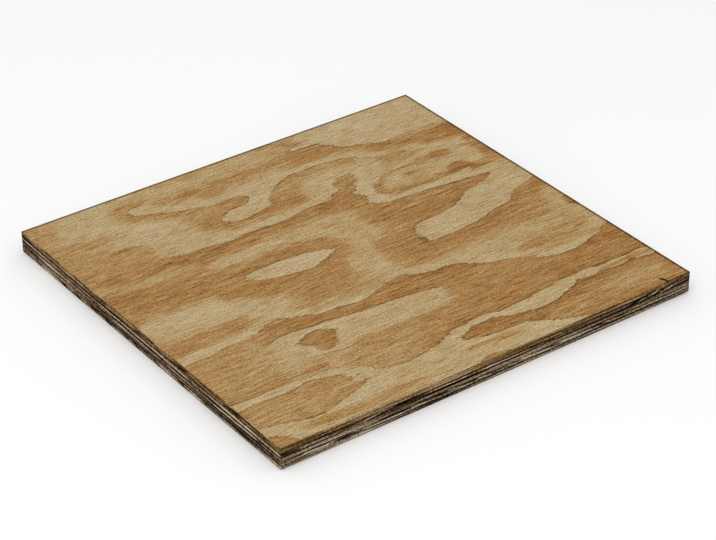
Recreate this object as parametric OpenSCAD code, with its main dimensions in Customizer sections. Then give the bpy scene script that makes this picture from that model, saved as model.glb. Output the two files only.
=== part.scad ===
// Square-cut panel of five-ply softwood plywood, lying flat.
// Millimetres, +Z up. The origin is the middle of the underside.
// X runs along the grain of the face, Y runs across it.

/* [Panel] */
// Length of the panel, along the grain of the face
panel_length = 366; // [80:1:2440]
// Width of the panel, across the grain of the face
panel_width = 348; // [80:1:1220]

/* [Plies] */
// Thickness of the face veneer, grain along X
face_thickness = 4.4; // [2:0.1:8]
// Thickness of the crossband under the face, grain along Y
upper_crossband_thickness = 3.3; // [1:0.1:8]
// Thickness of the core veneer, grain along X
core_thickness = 3.4; // [1:0.1:8]
// Thickness of the crossband over the back, grain along Y
lower_crossband_thickness = 3.6; // [1:0.1:8]
// Thickness of the back veneer, grain along X
back_thickness = 3.6; // [1:0.1:8]

/* [Split in the face] */
// Distance from the +X end of the panel to the middle of the split's mouth
split_from_end = 21.5; // [5:0.5:60]
// How far the split runs in from the -Y edge
split_run = 5; // [2:0.5:20]
// Width of the split at the edge, from where it narrows to a point
split_mouth = 1; // [0.4:0.1:4]
// How far the split's point lies toward -X of its mouth
split_lean = 1.5; // [0:0.1:5]
// Depth of the split below the face
split_depth = 1.8; // [0.5:0.1:2]

/* [Hidden] */

// Each ply is bonded straight onto the one below it, so each level is the sum of those under it.
lower_crossband_level = back_thickness;
core_level = lower_crossband_level + lower_crossband_thickness;
upper_crossband_level = core_level + core_thickness;
face_level = upper_crossband_level + upper_crossband_thickness;
panel_thickness = face_level + face_thickness;

// How far a cutting shape reaches past the surface that it cuts
cut_over = 1;

// One veneer: it covers the whole panel and lies on its glue line at this level.
module veneer(level, thickness) {
  translate([-panel_length / 2, -panel_width / 2, level])
    cube([panel_length, panel_width, thickness]);
}

// A wedge that opens at the -Y edge and narrows to a point inside the panel.
module edge_split() {
  mouth_x = panel_length / 2 - split_from_end;
  mouth_y = -panel_width / 2;
  translate([mouth_x, mouth_y, panel_thickness - split_depth])
    linear_extrude(height = split_depth + cut_over)
      polygon([
        [-split_mouth / 2, -cut_over],
        [split_mouth / 2, -cut_over],
        [split_mouth / 2, 0],
        [-split_lean, split_run],
        [-split_mouth / 2, 0]
      ]);
}

// The best veneer, rotary-cut, with its grain along X and a short split at its edge.
module face_veneer() {
  color([0.73, 0.63, 0.46])
    difference() {
      veneer(face_level, face_thickness);
      edge_split();
    }
}

// Cross-laid under the face: it shows end grain on the long edges.
module upper_crossband() {
  color([0.50, 0.42, 0.34])
    veneer(upper_crossband_level, upper_crossband_thickness);
}

// The middle ply, laid the same way as the face.
module core_veneer() {
  color([0.56, 0.49, 0.41])
    veneer(core_level, core_thickness);
}

// Cross-laid over the back.
module lower_crossband() {
  color([0.45, 0.37, 0.29])
    veneer(lower_crossband_level, lower_crossband_thickness);
}

// The plain underside that the panel lies on, laid the same way as the face.
module back_veneer() {
  color([0.58, 0.51, 0.43])
    veneer(0, back_thickness);
}

face_veneer();
upper_crossband();
core_veneer();
lower_crossband();
back_veneer();
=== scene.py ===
# Five-ply softwood plywood panel, lying flat with its best face up.
# X runs along the grain of the face, Y runs across it, and +Z comes up out of it.
# Blender's units are metres. Wood is set out in millimetres, and each mesh is scaled as it is made.
import math

import bpy
import numpy as np
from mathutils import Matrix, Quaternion, Vector


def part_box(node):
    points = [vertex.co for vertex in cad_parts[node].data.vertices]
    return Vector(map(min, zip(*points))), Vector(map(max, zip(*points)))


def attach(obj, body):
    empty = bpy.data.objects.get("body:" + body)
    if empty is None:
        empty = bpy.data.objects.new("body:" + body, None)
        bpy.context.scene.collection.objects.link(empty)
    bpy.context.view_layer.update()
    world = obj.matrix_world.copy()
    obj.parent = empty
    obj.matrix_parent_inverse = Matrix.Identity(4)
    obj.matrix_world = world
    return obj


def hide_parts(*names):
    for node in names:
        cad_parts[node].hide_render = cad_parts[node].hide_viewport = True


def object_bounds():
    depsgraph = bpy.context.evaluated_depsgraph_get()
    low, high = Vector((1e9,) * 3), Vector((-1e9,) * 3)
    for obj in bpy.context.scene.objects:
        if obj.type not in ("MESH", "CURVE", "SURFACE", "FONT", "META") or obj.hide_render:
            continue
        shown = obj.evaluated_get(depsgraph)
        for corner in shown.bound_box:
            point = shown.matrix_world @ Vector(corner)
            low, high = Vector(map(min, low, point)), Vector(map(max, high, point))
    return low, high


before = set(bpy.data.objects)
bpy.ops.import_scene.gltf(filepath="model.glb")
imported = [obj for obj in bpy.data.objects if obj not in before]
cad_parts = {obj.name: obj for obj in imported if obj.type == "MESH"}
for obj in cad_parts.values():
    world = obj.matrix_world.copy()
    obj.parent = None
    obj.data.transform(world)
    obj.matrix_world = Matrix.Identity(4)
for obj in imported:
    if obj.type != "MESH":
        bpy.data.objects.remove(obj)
cad_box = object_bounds()

# ---------------------------------------------------------------------------------------------
# Back veneer
# The bottom ply, peeled from the log like the rest and laid with its grain along the panel.
# It is the plainer of the two outer veneers. The panel lies on it, and its edge is sawn with the others.
mm = 0.001
half_length, half_width, panel_top = np.round(np.array(cad_box[1]) / mm, 3)
glue_lines = [round(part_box(ply)[0].z / mm, 3)
              for ply in ("lower_crossband", "core_veneer", "upper_crossband", "face_veneer")]
point_spacing = 1.5  # along the sides and over a figured face
row_spacing = 0.3  # up the edge


def grid_lines(half, extra=()):
    """Even lines from -half to half, with extra ones where a small feature needs them."""
    even = np.linspace(-half, half, round(2 * half / point_spacing) + 1)
    return np.unique(np.round(np.append(even, extra), 3))


def ripple(s, length, seed):
    """A smooth wander between about -1 and 1 along s, whose bends are about this long."""
    phases = np.random.default_rng(seed).uniform(0, 2 * math.pi, 4)
    pace = 2 * math.pi / length
    return sum(np.sin(s * pace * k + phase) / k for k, phase in zip((1, 1.7, 2.9, 4.3), phases)) / 1.6


# How the panel lies: its long near edge dips, three corners lift off the floor, the plies sag between
# the two faces along the near and left sides, and the glue lines wander.
near_edge_dip = 1.2
near_left_lift = 0.5
near_right_lift = 1.2
far_left_lift = 0.3
inner_sag = 0.6
glue_wander = 0.2
glue_wander_height = 2.4
glue_wander_length = 85


def settle(points):
    """Bends flat wood to the panel's real lie, inside its flat box."""
    x, y, z = points.T
    share = z / panel_top
    near = np.clip(-y / half_width, 0, 1) ** 2
    far = np.clip(y / half_width, 0, 1) ** 2
    to_left = np.clip(-x / half_length, 0, 1) ** 2
    to_right = np.clip(x / half_length, 0, 1) ** 2
    dip = near_edge_dip * near * (1 - (x / half_length) ** 2)
    lift = near_left_lift * near * to_left + near_right_lift * near * to_right + far_left_lift * far * to_left
    sag = inner_sag * np.maximum(near, to_left) * 4 * share * (1 - share)
    moved = z + lift * (1 - share) - dip * share - sag
    for number, level in enumerate(glue_lines):
        closeness = np.clip(1 - np.abs(z - level) / glue_wander_height, 0, 1)
        moved = moved + glue_wander * closeness * ripple(x + 0.8 * y, glue_wander_length, number)
    return np.column_stack([x, y, moved])


def rim_walk(x_lines, y_lines):
    """Points round the panel, anticlockwise from the near left corner, with the side that each is on."""
    near = [(x, y_lines[0], "near") for x in x_lines[:-1]]
    right = [(x_lines[-1], y, "right") for y in y_lines[:-1]]
    far = [(x, y_lines[-1], "far") for x in x_lines[:0:-1]]
    left = [(x_lines[0], y, "left") for y in y_lines[:0:-1]]
    walk = near + right + far + left
    return np.array([p[:2] for p in walk]), np.array([p[2] for p in walk])


# The radius that rubbing gave the outer arrises, and how far in from a face the points that round it lie.
arris = 0.3
arris_steps = (0.03, 0.09, 0.18)


def row_levels(bottom, top):
    """Heights of the rows of points on a ply's edge, closer where an arris is rubbed round."""
    levels = list(np.linspace(bottom, top, round((top - bottom) / row_spacing) + 1))
    for step in arris_steps:
        if top == panel_top:
            levels.append(top - step)
        if bottom == 0:
            levels.append(step)
    return np.array(sorted(levels))


def rubbed_in(z):
    """How far the rubbed arris has drawn in at this height."""
    short = np.clip(arris - np.minimum(z, panel_top - z), 0, arris)
    return arris - np.sqrt(arris ** 2 - short ** 2)


streak_taper = 4
streak_tip = 0.3  # how much of a streak is left at its very ends


def draw_streaks(along, height, streaks):
    """Light and dark streaks on one sawn edge. Each is (from, height, to, height, thickness, shade).
    Heights are shares of the ply, 0 at its lower face, and shade is -1 for dark to 1 for light."""
    shade = np.zeros_like(along)
    for start, start_height, end, end_height, thickness, strength in streaks:
        run = np.clip((along - start) / (end - start), 0, 1)
        middle = start_height + (end_height - start_height) * run
        inside = np.clip(np.minimum(along - start, end - along) / streak_taper + streak_tip, 0, 1)
        shade += strength * inside * np.exp(-((height - middle) / thickness) ** 2)
    return shade


def chance_streaks(seed, half, end_grain):
    """Streaks for an edge that is like the others of its kind. End grain has short slanted ones."""
    rng = np.random.default_rng(seed)
    streaks = []
    start = -half
    while start < half:
        run = rng.uniform(12, 32) if end_grain else rng.uniform(40, 90)
        slant = rng.uniform(0.2, 0.6) if end_grain else rng.uniform(-0.1, 0.1)
        height = rng.uniform(0.3, 0.9)
        shade = rng.choice([-0.5, 0.55]) if end_grain else rng.uniform(-0.3, 0.35)
        streaks.append((start, height, start + run, height - slant, rng.uniform(0.12, 0.25), shade))
        start += run * rng.uniform(0.35, 0.8)
    return streaks


# How far the wood stands back from the saw's plane where it meets the glue and where it is soft and dark,
# and how dark each glue line is: the glue's own colour with painted shade of the narrow gap there.
# Each changes along the edge, in bends of the length given.
groove_depth = 0.12
groove_change = 0.1
groove_height = 0.5
groove_bends = 23
dark_wood_depth = 0.3
glue_and_gap_shade = 0.75
glue_and_gap_shade_change = 0.35
glue_height = 0.45
glue_bends = 60


def edge_rows(bottom, top, rim, side, inward, streaks, cut):
    """The rows of points up a ply's edge, and the shade of each point."""
    along = np.where(np.isin(side, ("near", "far")), rim[:, 0], rim[:, 1])
    rows, shades = [], []
    for z in row_levels(bottom, top):
        height = (z - bottom) / (top - bottom)
        shade = np.zeros(len(rim))
        for place, drawn in streaks.items():
            here = side == place
            shade[here] = draw_streaks(along[here], height, drawn)
        off_glue = np.clip(min(z - bottom, top - z) / groove_height, 0, 1)
        nearest_glue = min(glue_lines, key=lambda level: abs(level - z))
        groove = groove_depth + groove_change * ripple(along, groove_bends, round(10 * nearest_glue))
        sunk = np.maximum(groove, 0) * (1 - off_glue) + off_glue * dark_wood_depth * np.clip(-shade, 0, 1)
        if z in (0, panel_top):
            sunk = np.zeros_like(sunk)
        # Dark glue lines: the glue's own colour with painted shade of the narrow gap at each line.
        for level in glue_lines:
            darkness = glue_and_gap_shade + glue_and_gap_shade_change * ripple(along, glue_bends, round(level * 7))
            shade = shade - darkness * np.exp(-((z - level) / glue_height) ** 2)
        inset = sunk + rubbed_in(z)
        drop = (cut(*rim.T) if cut else 0) * height
        rows.append(np.column_stack([rim + inward * inset[:, None], np.full(len(rim), z) - drop]))
        shades.append(shade)
    return rows, shades


def store(piece, name, values):
    """Keeps one number, or one vector, for each point of a piece, for its finish to read."""
    vectors = np.ndim(values) == 2
    kept = piece.data.attributes.new(name, "FLOAT_VECTOR" if vectors else "FLOAT", "POINT")
    kept.data.foreach_set("vector" if vectors else "value", np.ascontiguousarray(values, np.float32).ravel())


on_long_side, on_end, on_figure = 0, 1, 2  # the places of a ply's finishes
glued_face_rings = (0.985, 0.94, 0.8, 0.55)  # shares of the way out from the middle to the rim
sharp_turn = math.radians(50)


def veneer(name, x_lines, y_lines, figured, streaks, cut=None):
    """One ply as a closed mesh, with its streaks on each side of its edge. Its figured face, "top",
    "bottom" or None, is a full grid. The faces that are glued are rings of a few large polygons."""
    low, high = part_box(name)
    bottom, top = round(low.z / mm, 3), round(high.z / mm, 3)
    rim, side = rim_walk(x_lines, y_lines)
    count = len(rim)
    inward = np.column_stack([-np.sign(rim[:, k]) * (np.abs(rim[:, k]) == abs(lines[0]))
                              for k, lines in enumerate((x_lines, y_lines))])
    rows, shades = edge_rows(bottom, top, rim, side, inward, streaks, cut)
    points = list(rows)
    faces, finish = [], []

    def band(lower, upper, kinds):
        """Quads between two rings of points, given as each ring's first number."""
        step = np.arange(count)
        after = np.roll(step, -1)
        faces.extend(np.column_stack([lower + step, lower + after, upper + after, upper + step]).tolist())
        finish.extend(kinds)

    edge_kind = np.where(np.isin(side, ("near", "far")), on_long_side, on_end)
    for row in range(len(rows) - 1):
        band(row * count, (row + 1) * count, edge_kind)

    for face, row in (("bottom", 0), ("top", len(rows) - 1)):
        made = sum(len(p) for p in points)
        if face == figured:
            inner_x, inner_y = x_lines[1:-1], y_lines[1:-1]
            numbers = np.zeros((len(x_lines), len(y_lines)), int)
            inner_numbers = made + np.arange(len(inner_x) * len(inner_y))
            numbers[1:-1, 1:-1] = inner_numbers.reshape(len(inner_x), len(inner_y))
            column = np.searchsorted(x_lines, rim[:, 0])
            line = np.searchsorted(y_lines, rim[:, 1])
            numbers[column, line] = row * count + np.arange(count)
            x, y = (a.ravel() for a in np.meshgrid(inner_x, inner_y, indexing="ij"))
            z = (top if face == "top" else bottom) - (cut(x, y) if cut else np.zeros_like(x))
            points.append(np.column_stack([x, y, z]))
            corners = [numbers[:-1, :-1], numbers[1:, :-1], numbers[1:, 1:], numbers[:-1, 1:]]
            if face == "bottom":
                corners.reverse()
            quads = np.column_stack([c.ravel() for c in corners]).tolist()
            faces.extend(quads)
            finish.extend([on_figure] * len(quads))
        else:
            ring_start = row * count
            for share in glued_face_rings:
                points.append(np.column_stack([rim * share, np.full(count, rows[row][0, 2])]))
                ends = (ring_start, made) if face == "top" else (made, ring_start)
                band(*ends, [on_long_side] * count)
                ring_start = made
                made += count
            last = list(range(ring_start, ring_start + count))
            faces.append(last if face == "top" else last[::-1])
            finish.append(on_long_side)

    points = np.vstack(points)
    mesh = bpy.data.meshes.new(name)
    mesh.from_pydata((settle(points) * mm).tolist(), [], faces)
    mesh.polygons.foreach_set("material_index", np.array(finish, np.int32))
    mesh.polygons.foreach_set("use_smooth", np.ones(len(faces), bool))
    mesh.set_sharp_from_angle(angle=sharp_turn)
    piece = bpy.data.objects.new(name + "_wood", mesh)
    bpy.context.scene.collection.objects.link(piece)
    store(piece, "shade", np.append(np.concatenate(shades), np.zeros(len(points) - len(rows) * count)))
    return piece, points


def linear(value):
    """A paint chart's 0 to 255 as the light that it gives back."""
    share = value / 255
    return share / 12.92 if share < 0.04 else ((share + 0.055) / 1.055) ** 2.4


class Finish:
    """A material in the making. Each method adds a node and returns what comes out of it."""

    def __init__(self, name):
        self.material = bpy.data.materials.new(name)
        self.material.use_nodes = True
        self.tree = self.material.node_tree
        self.surface = self.tree.nodes["Principled BSDF"]
        self.place = self.tree.nodes.new("ShaderNodeTexCoord").outputs["Object"]

    def add(self, kind, *values, **settings):
        node = self.tree.nodes.new(kind)
        for key, value in settings.items():
            setattr(node, key, value)
        for socket, value in zip(node.inputs, values):
            self.put(socket, value)
        return node

    def put(self, socket, value):
        if isinstance(value, bpy.types.NodeSocket):
            self.tree.links.new(value, socket)
        else:
            socket.default_value = value

    def math(self, operation, *values):
        return self.add("ShaderNodeMath", *values, operation=operation).outputs[0]

    def plus(self, first, second):
        return self.math("ADD", first, second)

    def less(self, first, second):
        return self.math("SUBTRACT", first, second)

    def times(self, first, second):
        return self.math("MULTIPLY", first, second)

    def kept(self, name):
        return self.add("ShaderNodeAttribute", attribute_name=name).outputs["Fac"]

    def noise(self, per_metre, detail=2.0, roughness=0.5):
        """Cloudy noise about 0, stretched by having its own scale along each axis."""
        stretched = self.add("ShaderNodeVectorMath", self.place, per_metre, operation="MULTIPLY").outputs[0]
        cloud = self.add("ShaderNodeTexNoise")
        self.put(cloud.inputs["Vector"], stretched)
        cloud.inputs["Scale"].default_value = 1.0
        cloud.inputs["Detail"].default_value = detail
        cloud.inputs["Roughness"].default_value = roughness
        return self.less(cloud.outputs[0], 0.5)

    def curve(self, value, stops):
        """What (position, (red, green, blue)) stops give for each value from 0 to 1."""
        node = self.add("ShaderNodeValToRGB", value)
        marks = node.color_ramp.elements
        while len(marks) < len(stops):
            marks.new(0.5)
        for mark, (position, level) in zip(marks, stops):
            mark.position = position
            mark.color = (*level, 1.0)
        return node.outputs["Color"]

    def ramp(self, value, stops):
        """A colour for each value from 0 to 1, from (position, colour) stops."""
        return self.curve(value, [(position, [linear(c) for c in colour]) for position, colour in stops])

    def rise(self, value, stops):
        """A number for each value from 0 to 1, from (position, number) stops."""
        return self.curve(value, [(position, [number] * 3) for position, number in stops])

    def lightened(self, colour, amount, warmth=0.0):
        """The colour, made lighter or darker by this share. With warmth, darker is also warmer."""
        shares = [self.math("MULTIPLY_ADD", amount, 1 + warmth * lean, 1.0) for lean in (-1, 0, 1)]
        factors = [self.math("MAXIMUM", share, 0.05) for share in shares]
        tint = self.add("ShaderNodeCombineColor", *factors).outputs[0]
        node = self.add("ShaderNodeMix", data_type="RGBA", blend_type="MULTIPLY")
        for number, value in ((0, 1.0), (6, colour), (7, tint)):
            self.put(node.inputs[number], value)
        return node.outputs[2]

    def done(self, colour, roughness, height, depth, gloss=0.1):
        self.put(self.surface.inputs["Base Color"], colour)
        self.put(self.surface.inputs["Roughness"], roughness)
        self.surface.inputs["Specular IOR Level"].default_value = gloss
        bump = self.add("ShaderNodeBump")
        bump.inputs["Strength"].default_value = 1.0
        bump.inputs["Distance"].default_value = depth
        self.put(bump.inputs["Height"], height)
        self.put(self.surface.inputs["Normal"], bump.outputs[0])
        return self.material


ring_line_reach = 1.8
ring_line_darkness = 0.6
least_steepness = 0.012  # rings a millimetre, where the knife ran level with a ring
deepest_shade = -0.92


def figured_wood(name, stops, painted_shade_strength):
    """The broad face of a peeled veneer. "ring" counts growth rings: each goes from pale spring wood to
    brown summer wood, and ends sharply, in a thin dark line, where the next begins. The grain tears that
    end into fibres. "softness" eases the end where the knife ran level with it, "browning" is how brown
    a ring gets, and "cover" and "touch" are where the wood is paler or browner than its rings make it."""
    wood = Finish(name)
    plus, less, times = wood.plus, wood.less, wood.times
    slope = wood.add("ShaderNodeAttribute", attribute_name="ring_slope").outputs["Vector"]
    along, across, _ = wood.add("ShaderNodeSeparateXYZ", slope).outputs
    steepness = wood.add("ShaderNodeVectorMath", slope, operation="LENGTH").outputs["Value"]
    long_tear = times(wood.noise((90, 480, 0)), 10.0)
    short_tear = times(wood.noise((200, 900, 0)), 11.0)
    cross_tear = times(wood.noise((60, 300, 3)), 3.0)
    torn = plus(times(along, plus(long_tear, short_tear)), times(across, cross_tear))
    growth = wood.math("FRACT", plus(wood.kept("ring"), torn))

    sharp = wood.rise(growth, [(0, 0.06), (0.14, 0.1), (0.32, 0.32), (0.5, 0.66), (0.7, 0.9), (1, 1.0)])
    eased = wood.rise(growth, [(0, 0.5), (0.18, 0.12), (0.32, 0.32), (0.5, 0.66), (0.72, 0.88), (1, 0.5)])
    softness = wood.kept("softness")
    tone = plus(sharp, times(softness, less(eased, sharp)))
    tone = times(tone, wood.kept("browning"))
    bare = less(1.0, wood.kept("cover"))
    tone = plus(times(tone, bare), wood.kept("touch"))
    long_streaks = times(wood.noise((16, 240, 0), 3.0, 0.6), 1.6)
    short_streaks = times(wood.noise((45, 540, 4), 3.0, 0.65), 2.7)
    streaks = times(plus(long_streaks, short_streaks), plus(times(tone, 0.72), 0.2))
    clouds = times(wood.noise((12, 40, 0), 3.0), 0.7)
    tone = plus(tone, plus(streaks, clouds))
    colour = wood.ramp(wood.math("DIVIDE", plus(tone, 0.4), 2.0), stops)

    to_ring_end = wood.math("DIVIDE", less(1.0, growth), wood.math("MAXIMUM", steepness, least_steepness))
    line = wood.math("MAXIMUM", less(1.0, wood.math("DIVIDE", to_ring_end, ring_line_reach)), 0.0)
    line = times(times(line, bare), less(1.0, softness))
    line = times(line, plus(times(wood.noise((25, 60, 1)), 3.0), 0.9))
    fibres = wood.noise((70, 700, 0), 4.0, 0.7)
    flecks = wood.math("MAXIMUM", less(wood.noise((70, 620, 5), 2.0), 0.1), 0.0)
    nap = wood.noise((500, 900, 2), 2.0)
    coarseness = plus(times(tone, 0.35), 0.65)
    shading = less(plus(times(fibres, 2.9), times(nap, 2.4)), times(flecks, 2.6))
    shading = times(shading, coarseness)
    colour = wood.lightened(colour, wood.math("MAXIMUM", shading, deepest_shade), warmth=0.3)
    # Thin dark lines where rings end, and painted shade at the face's rims and split (scaled by the last
    # argument), darken the colour.
    ring_line_and_shade = plus(times(line, ring_line_darkness), times(wood.kept("painted_shade"), painted_shade_strength))
    colour = wood.lightened(colour, times(ring_line_and_shade, -1.0), warmth=0.1)
    roughness = plus(times(fibres, -0.3), 0.66)
    height = plus(times(growth, 0.4), times(fibres, 2.0))
    return wood.done(colour, roughness, height, 0.0001)


def sawn_edge(name, stops, end_grain):
    """A sawn edge. "shade" says how light or dark the wood is. Long grain shows fine lines along the edge,
    and end grain shows the fuzz of cut fibres."""
    wood = Finish(name)
    plus, times = wood.plus, wood.times
    lines = wood.noise((26, 26, 1000) if end_grain else (12, 12, 1100), 2.5, 0.55)
    fuzz = wood.noise((500, 500, 900), 2.0)
    saw_marks = wood.noise((900, 900, 60), 1.0)
    shade = plus(times(wood.kept("shade"), 0.52), times(lines, 2.4))
    shade = plus(shade, times(fuzz, 1.2))
    colour = wood.ramp(plus(shade, 0.5), stops)
    # Painted shade at the face ply's rims and split darkens its sawn edge too.
    colour = wood.lightened(colour, times(wood.kept("painted_shade"), -0.3))
    roughness = plus(times(lines, 0.3), 0.82)
    height = plus(lines, times(saw_marks, 0.35))
    return wood.done(colour, roughness, height, 0.0003, gloss=0.01)


def finish_with(ply, *finishes):
    """Gives a ply its finishes: for its long sides, its ends and, if it has one, its figured face."""
    for finish in finishes:
        ply.data.materials.append(finish)


def back_rings(x, y):
    """Growth rings of the back, as long nested arches that lean to one side."""
    middle = 18 + 22 * np.sin(x / 95) + 6 * np.sin(x / 31 + 2)
    return 3.4 + 2.6 * ((y - middle) / 150) ** 2 + x / 240 + 0.12 * np.sin(x / 47 + y / 30)


def store_figure(piece, points, rings):
    """Keeps the growth rings at each point of a piece, and how fast they change along and across it."""
    x, y = points[:, 0], points[:, 1]
    level = rings(x, y)
    store(piece, "ring", level)
    step = 0.5
    slope_x = (rings(x + step, y) - level) / step
    slope_y = (rings(x, y + step) - level) / step
    store(piece, "ring_slope", np.column_stack([slope_x, slope_y, np.zeros_like(x)]))


grey_tan = [(0.0, (12, 7, 3)), (0.25, (50, 36, 22)), (0.5, (105, 87, 65)), (0.75, (149, 131, 107)),
            (1.0, (205, 190, 166))]
back_streaks = {
    "near": [
        (-160, 0.5, -105, 0.45, 0.3, 0.25), (-70, 0.6, -40, 0.5, 0.3, -0.25), (0, 0.55, 60, 0.5, 0.3, 0.2),
        (-183, 0.05, 183, 0.05, 0.12, -0.6)],
    "left": [
        (-62, 0.05, -45, 0.95, 0.2, -1.7), (-24, 0.1, -12, 0.95, 0.2, -1.6), (3, 0.1, 14, 0.9, 0.18, -1.4),
        (18, 0.05, 30, 0.95, 0.2, -1.7), (42, 0.1, 54, 0.95, 0.22, -1.8), (44, 0.75, 54, 0.7, 0.16, 0.8),
        (62, 0.1, 74, 0.95, 0.2, -1.6), (84, 0.1, 96, 0.95, 0.2, -1.7), (106, 0.1, 117, 0.9, 0.18, -1.3),
        (143, 0.1, 154, 0.95, 0.2, -1.5), (-80, 0.5, 160, 0.5, 0.4, 0.3),
        (-174, 0.05, 174, 0.05, 0.12, -0.6)],
    "far": chance_streaks(11, half_length, False),
    "right": chance_streaks(12, half_width, True),
}
x_lines = grid_lines(half_length)
y_lines = grid_lines(half_width)
back_veneer, back_points = veneer("back_veneer", x_lines, y_lines, "bottom", back_streaks)
store_figure(back_veneer, back_points, back_rings)
store(back_veneer, "browning", np.ones(len(back_points)))
# The back has no soft ring ends, no touches and no painted shade.
for kept_name in ("softness", "cover", "touch", "painted_shade"):
    store(back_veneer, kept_name, np.zeros(len(back_points)))
dull_tan = [(0.0, (188, 171, 140)), (0.2, (173, 154, 120)), (0.53, (152, 124, 86)), (0.7, (138, 106, 68)),
            (1.0, (112, 78, 42))]
finish_with(back_veneer, sawn_edge("back_long_grain", grey_tan, False),
            sawn_edge("back_end_grain", grey_tan, True),
            figured_wood("back_face_wood", dull_tan, 0.4))
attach(back_veneer, "root")
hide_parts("back_veneer")

# ---------------------------------------------------------------------------------------------
# Lower crossband
# The ply over the back, cross-laid: end grain on the long edges, where its rings show as pale wedges
# that slope down to the right, and long grain on the ends. It is glued on both faces.
lower_crossband_streaks = {
    "near": [
        (-183, 0.5, -166, 0.6, 0.25, -0.3), (-166, 0.8, -150, 0.35, 0.2, 0.8),
        (-150, 0.4, -138, 0.35, 0.2, 0.5), (-138, 0.7, -125, 0.4, 0.25, -0.5),
        (-124, 0.85, -107, 0.25, 0.18, 0.8), (-108, 0.35, -98, 0.25, 0.2, 0.5),
        (-100, 0.85, -76, 0.8, 0.15, -0.7), (-96, 0.3, -80, 0.25, 0.14, 0.5),
        (-76, 0.85, -61, 0.3, 0.18, 0.9), (-66, 0.5, -52, 0.45, 0.25, 0.6),
        (-60, 0.92, -43, 0.85, 0.14, -0.5), (-43, 0.9, -26, 0.3, 0.2, 0.9), (-28, 0.35, -20, 0.3, 0.2, 0.5),
        (-26, 0.8, -14, 0.7, 0.15, -0.5), (-17, 0.75, -2, 0.3, 0.2, 0.8), (-14, 0.95, 2, 0.9, 0.12, -0.6),
        (2, 0.45, 20, 0.4, 0.2, 0.6), (8, 0.1, 20, 0.12, 0.12, -0.6), (22, 0.8, 50, 0.4, 0.22, 0.9),
        (26, 0.98, 52, 0.85, 0.12, -0.6), (20, 0.15, 50, 0.08, 0.12, -0.7), (50, 0.8, 60, 0.3, 0.2, -0.4),
        (59, 0.78, 98, 0.4, 0.2, 0.9), (60, 0.12, 98, 0.12, 0.14, -0.5), (85, 0.92, 100, 0.85, 0.12, -0.8),
        (100, 0.82, 118, 0.45, 0.18, 0.8), (103, 0.98, 118, 0.8, 0.12, -0.9),
        (101, 0.15, 118, 0.2, 0.14, -0.8), (120, 0.55, 141, 0.5, 0.3, 0.4),
        (121, 0.12, 138, 0.15, 0.12, -0.6), (140, 0.92, 183, 0.88, 0.14, -0.9),
        (142, 0.5, 183, 0.45, 0.25, 0.3), (150, 0.1, 183, 0.1, 0.14, -0.6)],
    "left": [
        (-174, 0.5, 174, 0.5, 0.6, -0.05), (-112, 0.55, -94, 0.6, 0.2, 0.3), (-40, 0.35, 10, 0.3, 0.2, -0.2),
        (120, 0.7, 150, 0.65, 0.2, 0.15)],
    "far": chance_streaks(21, half_length, True),
    "right": chance_streaks(22, half_width, False),
}
dark_brown = [(0.0, (10, 5, 2)), (0.25, (40, 26, 14)), (0.5, (90, 69, 46)), (0.75, (145, 126, 101)),
              (1.0, (200, 184, 158))]
red_brown = [(0.0, (20, 11, 7)), (0.25, (58, 37, 24)), (0.5, (94, 70, 50)), (0.75, (132, 108, 86)),
             (1.0, (176, 154, 130))]
lower_crossband, _ = veneer("lower_crossband", x_lines, y_lines, None, lower_crossband_streaks)
finish_with(lower_crossband, sawn_edge("lower_crossband_end_grain", dark_brown, True),
            sawn_edge("lower_crossband_long_grain", red_brown, False))
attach(lower_crossband, "root")
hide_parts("lower_crossband")

# ---------------------------------------------------------------------------------------------
# Core veneer
# The middle ply, laid like the face. On the long edges it is a pale band of long grain.
# On the ends its sawn end grain is finely lined, and a slanted break runs across it near one corner.
core_streaks = {
    "near": [
        (-183, 0.4, -90, 0.4, 0.4, 0.35), (-62, 0.35, 45, 0.45, 0.4, 0.35), (60, 0.5, 120, 0.45, 0.4, 0.1),
        (128, 0.5, 183, 0.4, 0.35, 0.3), (-175, 0.92, -100, 0.95, 0.12, -0.4),
        (-60, 0.95, -10, 0.92, 0.12, -0.5)],
    "left": [
        (-145, 0.45, -98, 0.4, 0.2, 0.7), (-98, 0.4, 40, 0.38, 0.2, 0.35), (62, 0.35, 165, 0.38, 0.2, 0.6),
        (-155, 0.8, -139, 0.0, 0.2, -0.9), (-65, 0.85, 72, 0.82, 0.2, -0.8),
        (-174, 0.8, -154, 0.75, 0.2, -0.8), (110, 0.72, 160, 0.7, 0.12, -0.4),
        (-154, 0.88, -65, 0.86, 0.15, -0.5), (72, 0.86, 174, 0.88, 0.15, -0.6)],
    "far": chance_streaks(31, half_length, False),
    "right": chance_streaks(32, half_width, True),
}
core_veneer, _ = veneer("core_veneer", x_lines, y_lines, None, core_streaks)
finish_with(core_veneer, sawn_edge("core_long_grain", grey_tan, False),
            sawn_edge("core_end_grain", grey_tan, True))
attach(core_veneer, "root")
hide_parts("core_veneer")

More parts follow.
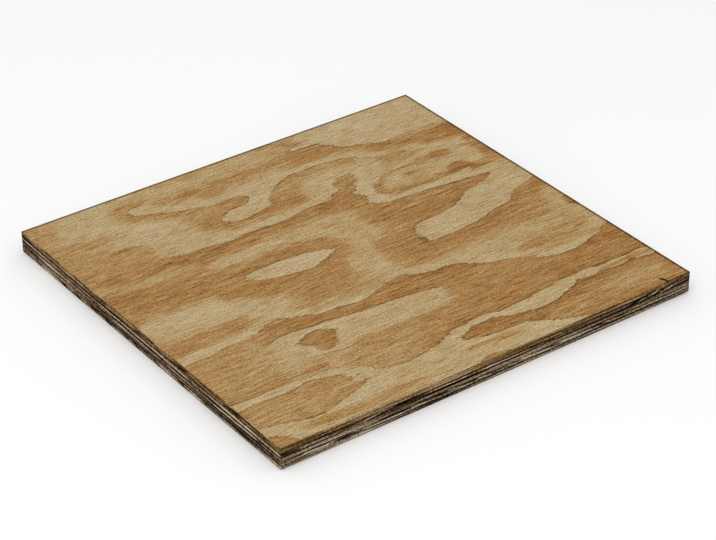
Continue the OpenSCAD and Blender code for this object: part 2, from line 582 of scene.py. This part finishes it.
# ---------------------------------------------------------------------------------------------
# Upper crossband
# The ply under the face, cross-laid. Its end grain is dark, with pale lenses and a few steep streaks
# near the right end; on the ends of the panel it is a pale band of long grain over a black line.
upper_crossband_streaks = {
    "near": [
        (-183, 0.5, 183, 0.45, 0.6, -0.12), (-168, 0.3, -136, 0.3, 0.14, 0.8),
        (-170, 0.75, -140, 0.72, 0.14, -0.7), (-183, 0.4, -168, 0.4, 0.16, -0.6),
        (-116, 0.2, -99, 0.8, 0.14, 0.9), (-100, 0.82, -86, 0.85, 0.14, 0.8),
        (-113, 0.05, -84, 0.6, 0.16, -0.9), (-86, 0.7, -68, 1.0, 0.16, -0.8),
        (-76, 0.3, -62, 0.1, 0.16, -0.5), (-62, 0.55, -24, 0.6, 0.16, 0.8),
        (-64, 0.12, -20, 0.08, 0.16, -0.9), (-30, 0.9, -4, 0.85, 0.16, -0.6), (-13, 0.5, 12, 0.5, 0.16, 0.5),
        (12, 0.45, 50, 0.5, 0.16, 0.2), (52, 0.55, 64, 0.6, 0.16, 0.6), (66, 0.5, 118, 0.5, 0.35, 0.15),
        (117, 0.64, 128, 0.8, 0.14, 0.6), (120, 0.1, 140, 1.0, 0.14, -1.5), (130, 0.2, 142, 0.65, 0.1, 1.5),
        (138, 0.1, 150, 0.6, 0.1, -1.2), (142, 0.45, 152, 0.9, 0.1, 1.6), (147, 0.3, 160, 1.0, 0.12, -1.4),
        (152, 0.15, 166, 0.6, 0.12, 1.5), (156, 0.0, 172, 0.4, 0.1, -1.2), (163, 0.6, 183, 0.86, 0.1, 1.1),
        (168, 0.33, 183, 0.42, 0.12, -0.8)],
    "left": [
        (-174, 0.4, -100, 0.4, 0.3, 0.75), (-100, 0.42, -62, 0.4, 0.3, 0.35),
        (-62, 0.36, 60, 0.38, 0.3, 0.8), (60, 0.35, 112, 0.4, 0.3, 0.2), (110, 0.42, 170, 0.42, 0.2, 0.6),
        (-65, 0.0, 72, 0.02, 0.14, -0.8), (-174, 0.0, -150, 0.02, 0.14, -0.6),
        (-174, 0.87, 174, 0.85, 0.15, -0.7)],
    "far": chance_streaks(41, half_length, True),
    "right": chance_streaks(42, half_width, False),
}
upper_crossband, _ = veneer("upper_crossband", x_lines, y_lines, None, upper_crossband_streaks)
finish_with(upper_crossband, sawn_edge("upper_crossband_end_grain", dark_brown, True),
            sawn_edge("upper_crossband_long_grain", grey_tan, False))
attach(upper_crossband, "root")
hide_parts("upper_crossband")

# ---------------------------------------------------------------------------------------------
# Face veneer
# The best ply, peeled from a wide-ringed log. The knife runs nearly along the rings, so each ring spreads
# into a large island, tongue or wave. It is sanded and bare, with a short split at the near edge.
# (ring count, points): a ring boundary crosses the face along each line.
growth_lines = [
    # hairpin, tongue, pocket and the long S
    (5, [(-76, 173), (-80, 163), (-88, 153), (-98, 152), (-104, 148), (-103, 142), (-95, 138), (-82, 132),
         (-68, 126), (-54, 121), (-38, 118), (-24, 117), (-17, 112), (-22, 106), (-38, 104), (-48, 99),
         (-50, 92), (-42, 87), (-26, 89), (-10, 92), (-5, 101), (4, 109), (20, 119), (38, 121), (56, 122),
         (72, 119), (88, 111), (102, 103), (118, 100), (126, 95), (134, 92), (150, 89), (165, 82),
         (183, 76)]),
    # under the plain corner
    (6, [(42, 174), (52, 167), (62, 161), (72, 158), (60, 156), (50, 153), (60, 151), (74, 150), (80, 143),
         (88, 134), (102, 129), (114, 122), (128, 118), (144, 117), (160, 115), (172, 114), (183, 114)]),
    # long straight line over the brown middle, then up and down round the pale patch
    (4, [(-174, 166), (-168, 156), (-172, 146), (-166, 138), (-150, 134), (-140, 128), (-142, 118),
         (-147, 112), (-132, 106), (-118, 99), (-115, 94), (-120, 86), (-118, 78), (-110, 73), (-100, 70),
         (-90, 70), (-80, 69), (-72, 67), (-40, 68), (-5, 68), (14, 71), (36, 72), (44, 78), (48, 86),
         (54, 92), (62, 95), (69, 94), (68, 88), (60, 80), (54, 70), (56, 62), (55, 52), (59, 44), (68, 41),
         (90, 40), (112, 37), (140, 33), (158, 30), (150, 25), (130, 20), (118, 14), (108, 8), (100, 5),
         (76, 2), (62, 0), (58, -6), (57, -18), (62, -25), (80, -25), (100, -23), (122, -17), (144, -12),
         (150, -6), (166, 0), (183, 5)]),
    # the lens
    (4, [(-85, 14), (-80, 18), (-60, 20), (-38, 19), (-20, 15), (-8, 9), (-20, 3), (-38, -2), (-54, 0),
         (-68, 4), (-80, 9)]),
    # the eye
    (4, [(68, 58), (72, 66), (82, 74), (96, 78), (118, 79), (132, 83), (146, 83), (156, 77), (168, 62),
         (183, 57)]),
    (4, [(72, 52), (84, 49), (100, 47), (118, 46), (134, 48), (150, 47), (166, 45), (183, 43)]),
    # the long wave
    (3, [(-183, -56), (-160, -54), (-130, -52), (-118, -50), (-108, -46), (-94, -45), (-84, -49), (-74, -53),
         (-56, -57), (-36, -60), (-20, -57), (-6, -52), (8, -50), (20, -55), (34, -60), (52, -61), (60, -66),
         (72, -74), (90, -80), (100, -86), (112, -94), (130, -98), (146, -96), (166, -91), (183, -83)]),
    # pale island under it
    (3, [(-128, -76), (-118, -67), (-98, -64), (-78, -67), (-50, -71), (-20, -73), (4, -76), (22, -80),
         (28, -88), (24, -99), (0, -101), (-30, -100), (-56, -99), (-80, -103), (-104, -100), (-124, -96),
         (-130, -86)]),
    # shield
    (3, [(-102, -80), (-99, -76), (-92, -73), (-82, -72), (-75, -75), (-70, -80), (-74, -85), (-77, -91),
         (-82, -96), (-90, -97), (-94, -90), (-98, -85)]),
    # the lower pale band
    (3, [(-183, -114), (-160, -115), (-130, -115), (-106, -117), (-92, -122), (-78, -133), (-64, -141),
         (-44, -141), (-24, -138), (-8, -131), (14, -128), (40, -131), (64, -130), (84, -127), (116, -125),
         (150, -127), (183, -129)]),
    # big island, lower left
    (3, [(-183, -123), (-160, -122), (-128, -121), (-110, -124), (-98, -128), (-89, -133), (-98, -137),
         (-96, -140), (-87, -143), (-102, -149), (-120, -154), (-140, -158), (-156, -155), (-168, -151),
         (-183, -149)]),
    # tongue, lower right
    (3, [(183, -137), (160, -134), (132, -133), (110, -132), (98, -138), (82, -143), (60, -144), (40, -140),
         (22, -134), (8, -135), (-7, -142), (4, -148), (26, -151), (46, -153), (58, -160), (74, -168),
         (90, -174)]),
    # corner patch and bottom patch
    (3, [(-183, -157), (-175, -163), (-168, -174)]),
    (3, [(-16, -174), (-6, -170), (10, -172), (18, -174)]),
]

# (ring count, points): what the count is in the heart of each ring, between its boundaries.
ring_hearts = [
    (6.12, [(70, 172), (110, 168), (150, 165), (178, 165), (90, 150), (110, 138), (140, 132), (175, 135),
            (120, 150), (160, 148)]),
    (6.05, [(64, 153.5)]),
    (5.86, [(56, 143), (70, 140), (40, 136), (60, 133), (90, 127), (115, 116), (140, 108), (165, 102),
            (180, 100)]),
    (5.72, [(40, 142), (0, 145), (-20, 143), (-40, 140), (-60, 145), (20, 146)]),
    (5.45, [(-80, 145), (-50, 155), (0, 155), (30, 157), (-20, 165), (20, 167), (-55, 168)]),
    (5.12, [(-96, 146), (-80, 138), (-55, 130), (-30, 128), (0, 124), (30, 126), (60, 125), (85, 119),
            (110, 105), (135, 97), (-10, 103), (-28, 97), (-42, 94)]),
    (5.5, [(176, 92), (178, 84)]),
    (4.85, [(-109, 148), (-104, 157), (-94, 157), (-99, 135), (-86, 128), (-70, 120), (-60, 114), (-40, 111),
            (-24, 111), (-40, 82), (-15, 85), (8, 95), (20, 111), (40, 116), (60, 116)]),
    (4.7, [(-75, 112), (-70, 98), (-60, 88), (15, 85), (82, 108), (100, 96), (116, 93), (90, 88),
           (172, 72)]),
    (4.2, [(-140, 150), (-150, 160), (-120, 165), (-125, 135), (-110, 118), (-105, 100), (-90, 100),
           (-90, 88), (-95, 170), (-118, 150), (-116, 140), (-108, 128), (-96, 122), (-88, 115), (-84, 104),
           (-82, 94), (30, 90), (40, 105), (62, 105), (80, 97), (145, 86), (160, 78)]),
    (4.1, [(-100, 78), (-70, 74), (-40, 73), (-10, 73), (15, 76), (75, 84), (64, 66), (61, 50), (90, 44),
           (120, 42), (150, 40), (175, 38), (172, 22), (150, 12), (120, 0), (90, -10), (68, -12), (140, -2),
           (175, 12)]),
    (4.1, [(-72, 14), (-50, 11), (-28, 10)]),
    (3.8, [(-178, 150), (-178, 130), (-160, 122), (-150, 108), (-170, 100), (-140, 90), (-128, 78),
           (-160, 75)]),
    (3.9, [(75, 60), (84, 68), (88, 54), (62, 90), (140, 78), (142, 53)]),
    (3.35, [(100, 70), (100, 55), (125, 65), (150, 62), (165, 52)]),
    (3.55, [(110, 62)]),
    (3.88, [(-90, 64), (-60, 62), (-20, 61), (20, 62), (44, 62), (45, 76)]),
    (3.75, [(-130, 66), (-160, 55), (-150, 30), (-120, 30), (-90, 28), (-50, 29), (-20, 27), (-170, 18),
            (-110, 8), (-98, -4), (-70, -8), (-40, -10), (-14, -4), (-3, 14), (-50, -30), (-28, -34),
            (-22, -14), (45, 45), (45, 25), (50, 5), (36, -8), (28, -25), (40, -42)]),
    (3.85, [(70, 28), (100, 25), (135, 27), (70, -32), (100, -30), (130, -24), (160, -10), (178, -4)]),
    (3.45, [(-122, 54), (-100, 48)]),
    (3.18, [(-80, 45), (-50, 47), (-15, 47), (15, 48), (25, 38), (20, 20), (14, 2), (2, -14), (2, -32),
            (6, -43), (-175, 0), (-150, -2), (-125, -4), (-110, -16), (-98, -28), (-84, -32)]),
    (3.7, [(-175, -33), (-150, -34), (-128, -32)]),
    (3.1, [(-175, -48), (-145, -47), (-115, -40), (-75, -46), (-40, -52), (-15, -49), (15, -46), (38, -53),
           (62, -56), (82, -68), (100, -75), (118, -88), (140, -90), (165, -82)]),
    (3.3, [(95, -50), (130, -58), (172, -55), (175, -25), (172, -72), (150, -30)]),
    (3.6, [(118, -40), (146, -42), (120, -74), (150, -74)]),
    (2.88, [(-150, -60), (-110, -57), (-92, -55), (-40, -65), (5, -62), (40, -66), (60, -78), (100, -96),
            (140, -106), (170, -96), (36, -88), (30, -108), (-10, -106), (-40, -108)]),
    (2.75, [(-160, -80), (-140, -90), (-150, -104), (-120, -109), (-90, -110), (-60, -118), (-20, -122),
            (20, -118), (60, -112), (100, -112), (140, -118), (170, -116), (-60, -132), (-30, -130),
            (-80, -118)]),
    (3.1, [(-110, -80), (-110, -92)]),
    (3.22, [(-60, -78), (-50, -90), (-20, -85), (5, -88)]),
    (2.85, [(-86, -84), (-86, -92)]),
    (3.08, [(-160, -118.5), (-130, -118), (-106, -120), (-90, -130), (-78, -143), (-50, -147), (-20, -143),
            (-4, -134), (20, -130.5), (50, -137), (75, -136), (98, -130), (120, -129), (150, -130.5),
            (175, -133)]),
    (2.82, [(-160, -135), (-130, -135), (-108, -138), (-140, -148), (20, -142), (50, -148), (80, -154),
            (110, -145), (130, -160), (110, -170), (170, -145), (178, -165)]),
    (2.6, [(150, -154)]),
    (3.15, [(-170, -156), (-120, -162), (-80, -152), (-40, -158), (0, -160), (30, -160), (50, -170),
            (-155, -168)]),
    (3.4, [(-110, -168), (-70, -166)]),
    (2.85, [(-180, -170), (0, -174)]),
]
along_grain = np.array([0.5, 1.0])


def bend(a, b):
    """How much a thin sheet, pushed up at each of points b, rises at each of points a."""
    squared = ((a[:, None] - b[None]) ** 2).sum(-1)
    return 0.5 * squared * np.log(squared + 1e-9)


def smooth_sheet(marks, stiffness=0.4):
    """The smooth surface through (value, places) marks, stiffer along the grain, to ask at any points."""
    places = np.array([place for _, group in marks for place in group]) * along_grain
    values = np.array([value for value, group in marks for _ in group], float)
    count = len(places)
    flat = np.column_stack([np.ones(count), places])
    system = np.zeros((count + 3, count + 3))
    system[:count, :count] = bend(places, places) + stiffness * np.eye(count)
    system[:count, count:] = flat
    system[count:, :count] = flat.T
    weights = np.linalg.solve(system, np.append(values, [0, 0, 0]))
    batch = 20000

    def height(x, y):
        asked = np.column_stack([x, y]) * along_grain
        raised = np.concatenate([bend(asked[start:start + batch], places) @ weights[:-3]
                                 for start in range(0, len(asked), batch)])
        return raised + np.column_stack([np.ones(len(asked)), asked]) @ weights[-3:]

    return height


face_rings = smooth_sheet(growth_lines + ring_hearts)
# (how brown, points): how brown a ring gets in each part of the face.
browning_places = [
    (1.15, [(180, 105), (150, -110), (176, -115), (176, -95), (20, -64), (50, -64), (20, -144), (50, -146),
            (110, -138), (160, -136), (180, -138), (165, 104)]),
    (1.0, [(-60, 64), (0, 64), (40, 66), (-110, 66), (-120, 30), (-60, 26), (-40, -6), (-80, -6),
           (-100, -55), (-60, -60), (100, 30), (60, 35), (80, -32), (120, -28), (170, -5), (30, -42),
           (120, 114), (145, 50)]),
    (0.95, [(100, -100), (100, -118), (130, -168), (172, -168), (100, -168), (182, -155), (60, -168)]),
    (0.9, [(-170, 40), (-150, 25), (-100, 10), (40, 10), (45, -15), (60, -80), (60, -110), (30, -110),
           (-95, -80), (50, 75), (5, 85), (-20, 85), (70, 30), (-5, 15)]),
    (0.8, [(-160, 80), (-180, 62), (-60, 88), (54, 82), (40, 142), (70, 140), (-20, 145), (-107, 148),
           (-60, 143)]),
    (0.65, [(-180, 172), (180, 172), (-180, -172), (0, 172), (-60, -172), (-170, 130), (-150, 115),
            (-140, 98), (-170, 100), (-60, 105), (-40, 112), (-90, 128), (-160, -85), (-170, -70),
            (-140, -105), (-60, -115), (-30, -125), (-140, -135), (-110, -137), (-160, -145), (40, 118),
            (80, 117), (100, 95), (64, 90), (-40, -30), (-50, -40), (-145, -33), (100, -55), (120, -75),
            (-100, -165), (0, -157), (-120, -60)]),
    (0.5, [(-20, 165), (-60, 165), (20, 160), (120, 70), (150, -154), (-150, 88), (75, 60)]),
]
face_browning = smooth_sheet(browning_places, 4.0)


# The split: its mouth in the near edge, how far it runs in and leans to the left, and the painted shadow in
# and beside it.
split_mouth = (half_length - 21.5, -half_width)
split_run = 5.0
split_lean = 1.5
split_half_mouth = 0.5
split_depth = 1.8
split_wall = 0.2
split_shadow_reach = 1.2
split_shadow_fade = 0.25


def split_drop(x, y):
    """How deep the split is at a point of the face."""
    inward = np.clip((y - split_mouth[1]) / split_run, 0, 1)
    aside = np.abs(x - (split_mouth[0] - split_lean * inward))
    inside = np.clip((split_half_mouth * (1 - inward) - aside) / split_wall + 0.5, 0, 1)
    return split_depth * inside * (inward < 1)


def split_shadow(x, y):
    """How much painted shadow darkens the wood in and beside the split."""
    inward = np.clip((y - split_mouth[1]) / split_run, 0, 1.1)
    aside = np.hypot(x - (split_mouth[0] - split_lean * inward), y - (split_mouth[1] + split_run * inward))
    return np.clip((split_shadow_reach - aside) / split_shadow_fade, 0, 1)


# Where the wood is paler or browner than its rings make it: the middle, the reach along and across the
# grain, the tone from 0 for pale to 1 for brown, how much of it there is, and how much of the reach fades.
touches = [
    # along the far edge, and round the hairpin
    (-176, 158, 12, 16, 0.45, 0.7, 0.9), (-85, 173, 24, 7, 0.35, 0.7, 0.9), (-37, 166, 9, 4, 0.75, 0.8, 0.4),
    (-25, 145, 48, 4, 0.88, 0.6, 0.9), (-35, 135, 12, 8, 0.78, 0.7, 0.8), (-60, 132, 13, 5, 0.02, 0.6, 0.9),
    (-84, 157, 14, 3, 0.75, 0.5, 0.9), (-54, 151, 30, 2.2, 0.66, 0.5, 0.9),
    (-32, 117, 14, 3, 0.62, 0.6, 0.8), (-84, 103, 12, 4, 0.78, 0.5, 0.9), (-15, 80, 30, 1.8, 0.72, 0.5, 0.8),
    (60, 98, 16, 5, 0.45, 0.5, 0.9), (55, 166, 10, 6, 0.80, 0.7, 0.9), (62, 160, 12, 1.6, 0.95, 0.6, 0.7),
    (32, 139, 14, 1.2, 0.20, 0.7, 0.8), (30, 133, 14, 3, 0.50, 0.6, 0.9), (8, 160, 44, 9, 0.18, 0.6, 0.9),
    (-46, 161, 44, 9, 0.14, 0.7, 0.9), (-96, 161, 14, 4, 0.60, 0.4, 0.9),
    # the tan left end
    (-168, 130, 14, 6, 0.66, 0.7, 0.9), (-148, 121, 22, 8, 0.55, 0.7, 0.9),
    (-134, 109, 14, 3, 0.15, 0.6, 0.8), (-137, 103, 12, 3, 0.80, 0.6, 0.6),
    (-142, 90, 18, 8, 0.42, 0.7, 0.9), (-168, 84, 22, 9, 0.72, 0.6, 0.9), (-176, 62, 12, 5, 0.42, 0.6, 0.9),
    (-135, 54, 26, 5, 0.30, 0.7, 0.9), (-160, 44, 18, 4, 1.05, 0.5, 0.9),
    # round the eye
    (122, 119, 24, 2.0, 0.95, 0.7, 0.8), (92, 125, 20, 2, 0.6, 0.5, 0.8), (124, 102, 20, 3, 0.15, 0.7, 0.8),
    (128, 110, 18, 4, 0.90, 0.7, 0.8), (162, 103, 20, 4, 0.85, 0.8, 0.8), (152, 112, 28, 3, 0.66, 0.7, 0.8),
    (178, 104, 14, 11, 1.15, 0.9, 0.5), (152, 86, 22, 9, 0.12, 0.9, 0.6), (88, 96, 10, 16, 0.15, 0.9, 0.7),
    (113, 96, 13, 8, 0.56, 0.9, 0.4), (123, 96, 3, 4, 0.80, 0.6, 0.6), (118, 63, 40, 11, 0.2, 1.0, 0.3),
    (160, 63, 14, 13, 0.18, 1.0, 0.5), (74, 62, 4.5, 9, 0.85, 0.9, 0.5), (82, 52, 10, 2.5, 0.90, 0.9, 0.6),
    (98, 77, 24, 1.3, 0.45, 0.7, 0.7), (112, 66, 12, 3, 0.85, 0.8, 0.8), (109, 57, 9, 2, 0.6, 0.8, 0.8),
    (142, 78, 12, 5, 0.85, 1.0, 0.15), (144, 53, 10, 6, 1.15, 1.0, 0.2),
    (112, 46.8, 36, 1.8, 1.00, 0.95, 0.5), (168, 43.6, 22, 2.6, 1.25, 1.0, 0.5),
    (181, 74, 7, 24, 0.95, 0.9, 0.6), (178, 60, 7, 7, 1.15, 0.8, 0.8), (40, 66, 14, 8, 0.98, 0.5, 0.9),
    (52, 82, 6, 8, 0.80, 0.5, 0.9), (13, 85, 7, 5, 0.95, 0.5, 0.9),
    # the middle
    (-60, 54, 34, 5, 0.76, 0.7, 0.8), (-10, 53, 22, 3, 0.40, 0.6, 0.8), (-75, 43, 22, 4, 0.14, 0.6, 0.8),
    (0, 44, 34, 4, 0.28, 0.6, 0.9), (13, 39, 9, 0.9, 0.95, 0.8, 0.6), (18, 20, 14, 18, 0.25, 0.7, 0.9),
    (24, -8, 6, 14, 0.78, 0.7, 0.8), (0, -24, 12, 20, 0.16, 0.8, 0.8), (-62, -42, 18, 3, 0.82, 0.8, 0.7),
    (-18, -43, 20, 2.6, 0.78, 0.8, 0.7), (-40, -33, 30, 9, 0.92, 0.7, 0.9), (34, -43, 16, 3, 1.00, 0.8, 0.7),
    (90, -42, 60, 3, 0.70, 0.7, 0.9), (150, -31, 18, 8, 0.82, 0.8, 0.8), (177, -26, 8, 12, 0.35, 0.8, 0.9),
    (100, 19, 30, 4, 0.78, 0.5, 0.9), (172, 30, 14, 22, 0.20, 0.6, 0.9), (-92, 13, 16, 7, 0.4, 0.6, 0.9),
    (-46, 9, 34, 8, -0.1, 0.8, 0.3), (84, -12, 26, 9, -0.05, 0.7, 0.6), (130, 0, 40, 7, 0.08, 0.6, 0.8),
    (-35, -50, 42, 4, 0.62, 0.7, 0.9),
    # the left pale tongue and the brown wedge under it
    (-150, -4, 36, 13, 0.03, 0.8, 0.8), (-144, -19, 34, 6, 0.12, 0.8, 0.8),
    (-95, -31, 18, 9, 0.15, 0.6, 0.9), (-150, -36, 38, 7, 0.88, 0.8, 0.5),
    (-168, -41, 18, 3, 0.75, 0.6, 0.8), (-114, -30, 5, 6, 0.72, 0.5, 0.9),
    (-106, -46, 14, 3, 0.35, 0.6, 0.8),
    # right middle
    (182, -41, 6, 9, 1.15, 1.0, 0.3), (104, -56, 44, 9, 0.24, 0.6, 0.9), (136, -75, 34, 6, 0.70, 0.8, 0.8),
    (112, -74, 8, 4, 0.90, 0.6, 0.8), (144, -85, 36, 4, 0.62, 0.7, 0.9), (95, -88, 14, 5, 0.95, 0.7, 0.9),
    (138, -44, 18, 4, 0.62, 0.5, 0.9),
    # the island and what lies under it
    (-114, -102, 18, 3, 0.36, 0.8, 0.8), (-86, -82, 10, 7, 0.72, 0.7, 0.6),
    (-92, -112, 8, 12, 0.34, 0.8, 0.8), (-110, -111, 13, 2.5, 1.05, 0.9, 0.6),
    (-152, -111.5, 32, 3, 0.78, 0.8, 0.6), (-57, -127, 14, 9, 0.42, 0.7, 0.9),
    (-80, -112, 8, 6, 0.62, 0.4, 0.9), (88, -119, 16, 7, 0.62, 0.6, 0.9), (48, -127, 44, 2, 1.20, 0.8, 0.6),
    (11, -123.5, 12, 2, 1.10, 0.7, 0.6), (30, -104, 50, 4, 0.95, 0.5, 0.9),
    (-160, -85, 24, 14, 0.58, 0.6, 0.9), (-36, -112, 22, 4, 0.72, 0.5, 0.9),
    (-165, -60, 26, 3, 0.78, 0.6, 0.9),
    # along the near edge
    (-130, -165, 24, 4.5, 0.8, 0.8, 0.8), (-108, -166, 26, 4, 0.72, 0.5, 0.9),
    (-80, -165, 26, 3.5, 0.70, 0.8, 0.8), (-110, -156, 30, 2, 0.1, 0.5, 0.8),
    (-50, -153, 22, 2, 0.30, 0.6, 0.8), (10, -156, 26, 2.2, 0.85, 0.8, 0.6),
    (24, -160, 18, 1.6, 0.85, 0.8, 0.6), (-20, -166, 30, 2.5, 0.10, 0.6, 0.8),
    (148, -154, 26, 6, 0.42, 0.8, 0.7), (160, -132, 26, 2, 1.10, 0.8, 0.7),
    (166, -143, 20, 2, 0.95, 0.6, 0.8), (165, -164, 20, 7, 0.55, 0.6, 0.9),
    (84, -156, 18, 8, 0.52, 0.6, 0.9), (-90, -126, 7, 2.5, 0.30, 0.6, 0.7),
]
# Where a ring ends softly: the middle, the reach each way, and how soft it is.
soft_places = [
    (-168, 150, 24, 30, 1.0), (-140, 118, 22, 20, 0.8), (-82, 168, 22, 12, 1.0), (-118, 92, 14, 24, 0.6),
    (-130, -86, 20, 22, 1.0), (-106, -108, 32, 9, 0.9), (-20, -101, 60, 8, 0.7), (32, -88, 12, 18, 0.7),
    (-60, -130, 20, 14, 0.5), (150, 85, 30, 14, 1.0), (10, 104, 14, 8, 0.5), (62, -12, 8, 12, 0.4),
    (140, 24, 16, 8, 0.5), (154, 117, 28, 5, 0.9),
]


soft_fade = 0.8
least_fade = 0.05


def over_reach(x, y, middle_x, middle_y, reach_x, reach_y, fade):
    """1 in the middle of an oval place, and 0 outside it, with this much of its reach fading out."""
    away = np.hypot((x - middle_x) / reach_x, (y - middle_y) / reach_y)
    share = np.clip((1 + fade / 2 - away) / max(fade, least_fade), 0, 1)
    return share * share * (3 - 2 * share)


def touched(x, y):
    """How much of each point of the face is touched, and with what tone."""
    cover, touch = np.zeros_like(x), np.zeros_like(x)
    for middle_x, middle_y, reach_x, reach_y, tone, strength, fade in touches:
        here = strength * over_reach(x, y, middle_x, middle_y, reach_x, reach_y, fade)
        cover = 1 - (1 - cover) * (1 - here)
        touch = touch * (1 - here) + tone * here
    return cover, touch


def softened(x, y):
    """How softly a ring would end at each point of the face."""
    soft = np.zeros_like(x)
    for middle_x, middle_y, reach_x, reach_y, strength in soft_places:
        soft = np.maximum(soft, strength * over_reach(x, y, middle_x, middle_y, reach_x, reach_y, soft_fade))
    return soft


split_x_lines = split_mouth[0] + np.linspace(-2.3, 1.3, 19)
split_y_lines = split_mouth[1] + np.arange(0.5, 6, 0.5)
rim_lines = np.array([0.5, 1.5, 3.0])
face_streaks = {
    "near": [
        (-125, 0.45, -75, 0.25, 0.2, 0.45), (30, 0.35, 62, 0.1, 0.14, 0.5),
        (-178, 0.6, -145, 0.5, 0.4, -0.2), (-70, 0.9, -10, 0.85, 0.16, -0.3),
        (-60, 0.7, -18, 0.6, 0.2, 0.25), (70, 0.9, 112, 0.9, 0.16, -0.4), (112, 0.5, 136, 0.3, 0.2, 0.4),
        (60, 0.15, 122, 0.1, 0.16, -0.3), (139, 0.0, 152, 0.45, 0.12, -1.0), (148, 0.2, 164, 0.55, 0.1, 0.7),
        (158, 0.0, 177, 0.75, 0.1, -0.9), (-150, 0.97, 160, 0.97, 0.14, 0.7)],
    "left": [
        (-174, 0.97, 174, 0.97, 0.1, 0.6), (-174, 0.72, 174, 0.74, 0.14, -0.35),
        (-126, 0.9, -104, 0.05, 0.16, -0.9), (-139, 0.32, -124, 0.34, 0.14, 0.8),
        (-172, 0.5, -158, 0.5, 0.2, 0.4), (-63, 0.9, -47, 0.1, 0.2, -0.6), (-26, 0.08, -4, 0.8, 0.14, -0.7),
        (-5, 0.8, 13, 0.1, 0.14, -0.6), (-42, 0.65, -14, 0.65, 0.2, 0.5), (8, 0.5, 50, 0.55, 0.2, 0.5),
        (50, 0.1, 60, 0.55, 0.14, -0.5), (60, 0.55, 71, 0.05, 0.14, -0.5), (80, 0.45, 160, 0.5, 0.25, 0.35)],
    "far": chance_streaks(51, half_length, False),
    "right": chance_streaks(52, half_width, True),
}
golden_brown = [(0.0, (20, 11, 4)), (0.25, (56, 36, 16)), (0.5, (106, 78, 44)), (0.75, (146, 117, 78)),
                (1.0, (190, 165, 128))]
face_x_lines = grid_lines(half_length, np.append(split_x_lines, half_length - rim_lines))
face_y_lines = grid_lines(half_width, np.append(split_y_lines, half_width - rim_lines))
face_veneer, face_points = veneer("face_veneer", face_x_lines, face_y_lines, "top", face_streaks, split_drop)
store_figure(face_veneer, face_points, face_rings)
face_x, face_y = face_points[:, 0], face_points[:, 1]
cover, touch = touched(face_x, face_y)
# Painted shade darkens the wood in a line along the far and right edges and a little along the others.
# Painted shadow darkens it at the split.
far_rim_shade = 0.95
far_rim_shade_reach = 3.0
far_rim_shade_fade = 1.5
near_rim_shade = 0.3
near_rim_shade_reach = 1.0
split_shadow_strength = 1.4
from_far_rim = np.minimum(half_length - face_x, half_width - face_y)
from_near_rim = np.minimum(half_length + face_x, half_width + face_y)
rim_shade = far_rim_shade * np.clip((far_rim_shade_reach - from_far_rim) / far_rim_shade_fade, 0, 1)
rim_shade += near_rim_shade * np.clip(near_rim_shade_reach - from_near_rim, 0, 1)
store(face_veneer, "softness", softened(face_x, face_y))
store(face_veneer, "browning", face_browning(face_x, face_y))
store(face_veneer, "cover", cover)
store(face_veneer, "touch", touch)
# Painted shade at the rims and painted shadow at the split, kept for the finishes to darken the wood with.
store(face_veneer, "painted_shade", np.maximum(rim_shade, split_shadow_strength * split_shadow(face_x, face_y)))
pale_to_russet = [(0.0, (191, 172, 137)), (0.2, (178, 156, 117)), (0.35, (171, 143, 98)),
                  (0.53, (161, 124, 75)), (0.7, (153, 111, 60)), (1.0, (126, 80, 33))]
finish_with(face_veneer, sawn_edge("face_long_grain", golden_brown, False),
            sawn_edge("face_end_grain", golden_brown, True),
            figured_wood("face_wood", pale_to_russet, 0.8))
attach(face_veneer, "root")
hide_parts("face_veneer")

# ---------------------------------------------------------------------------------------------
# Studio
# A pale floor under a broad soft light, with pale surroundings, and a long lens that looks down
# across the near corner.
floor_mesh = bpy.data.meshes.new("studio_floor")
floor_reach = 6.0
floor_level = -0.0001
floor_corners = [(x * floor_reach, y * floor_reach, floor_level)
                 for x, y in ((-1, -1), (1, -1), (1, 1), (-1, 1))]
floor_mesh.from_pydata(floor_corners, [], [(0, 1, 2, 3)])
floor = bpy.data.objects.new("studio_floor", floor_mesh)
bpy.context.scene.collection.objects.link(floor)
floor_paint = Finish("pale_floor")
floor_grey = (0.93, 0.93, 0.93, 1.0)
floor_cloud = floor_paint.noise((3, 3, 0))
floor_colour = floor_paint.lightened(floor_grey, floor_paint.times(floor_cloud, 0.02))
floor_paint.done(floor_colour, 0.9, floor_cloud, 0.0001)
floor_mesh.materials.append(floor_paint.material)

surroundings = bpy.data.worlds.new("pale_surroundings")
surroundings.use_nodes = True
surroundings.node_tree.nodes["Background"].inputs["Color"].default_value = (1.0, 1.0, 1.0, 1.0)
surroundings.node_tree.nodes["Background"].inputs["Strength"].default_value = 0.75
bpy.context.scene.world = surroundings

softbox = bpy.data.objects.new("softbox", bpy.data.lights.new("softbox", "AREA"))
softbox.data.shape = "DISK"
softbox.data.size = 2.5
softbox.data.energy = 26
softbox.location = (-0.6, -0.5, 2.4)
softbox.rotation_euler = (-softbox.location).to_track_quat("-Z", "Y").to_euler()
bpy.context.scene.collection.objects.link(softbox)

camera = bpy.data.objects.new("camera", bpy.data.cameras.new("camera"))
camera.data.sensor_width = 36
camera.data.lens = 123.2
camera.location = (-0.9050, -1.2723, 0.9813)
looking = Vector((0.4935, 0.6885, -0.5316))
roll = math.radians(-0.75)
camera.rotation_mode = "QUATERNION"
camera.rotation_quaternion = looking.to_track_quat("-Z", "Y")
camera.rotation_quaternion @= Quaternion((0, 0, 1), roll)
bpy.context.scene.collection.objects.link(camera)
bpy.context.scene.camera = camera
bpy.context.scene.view_settings.view_transform = "Standard"
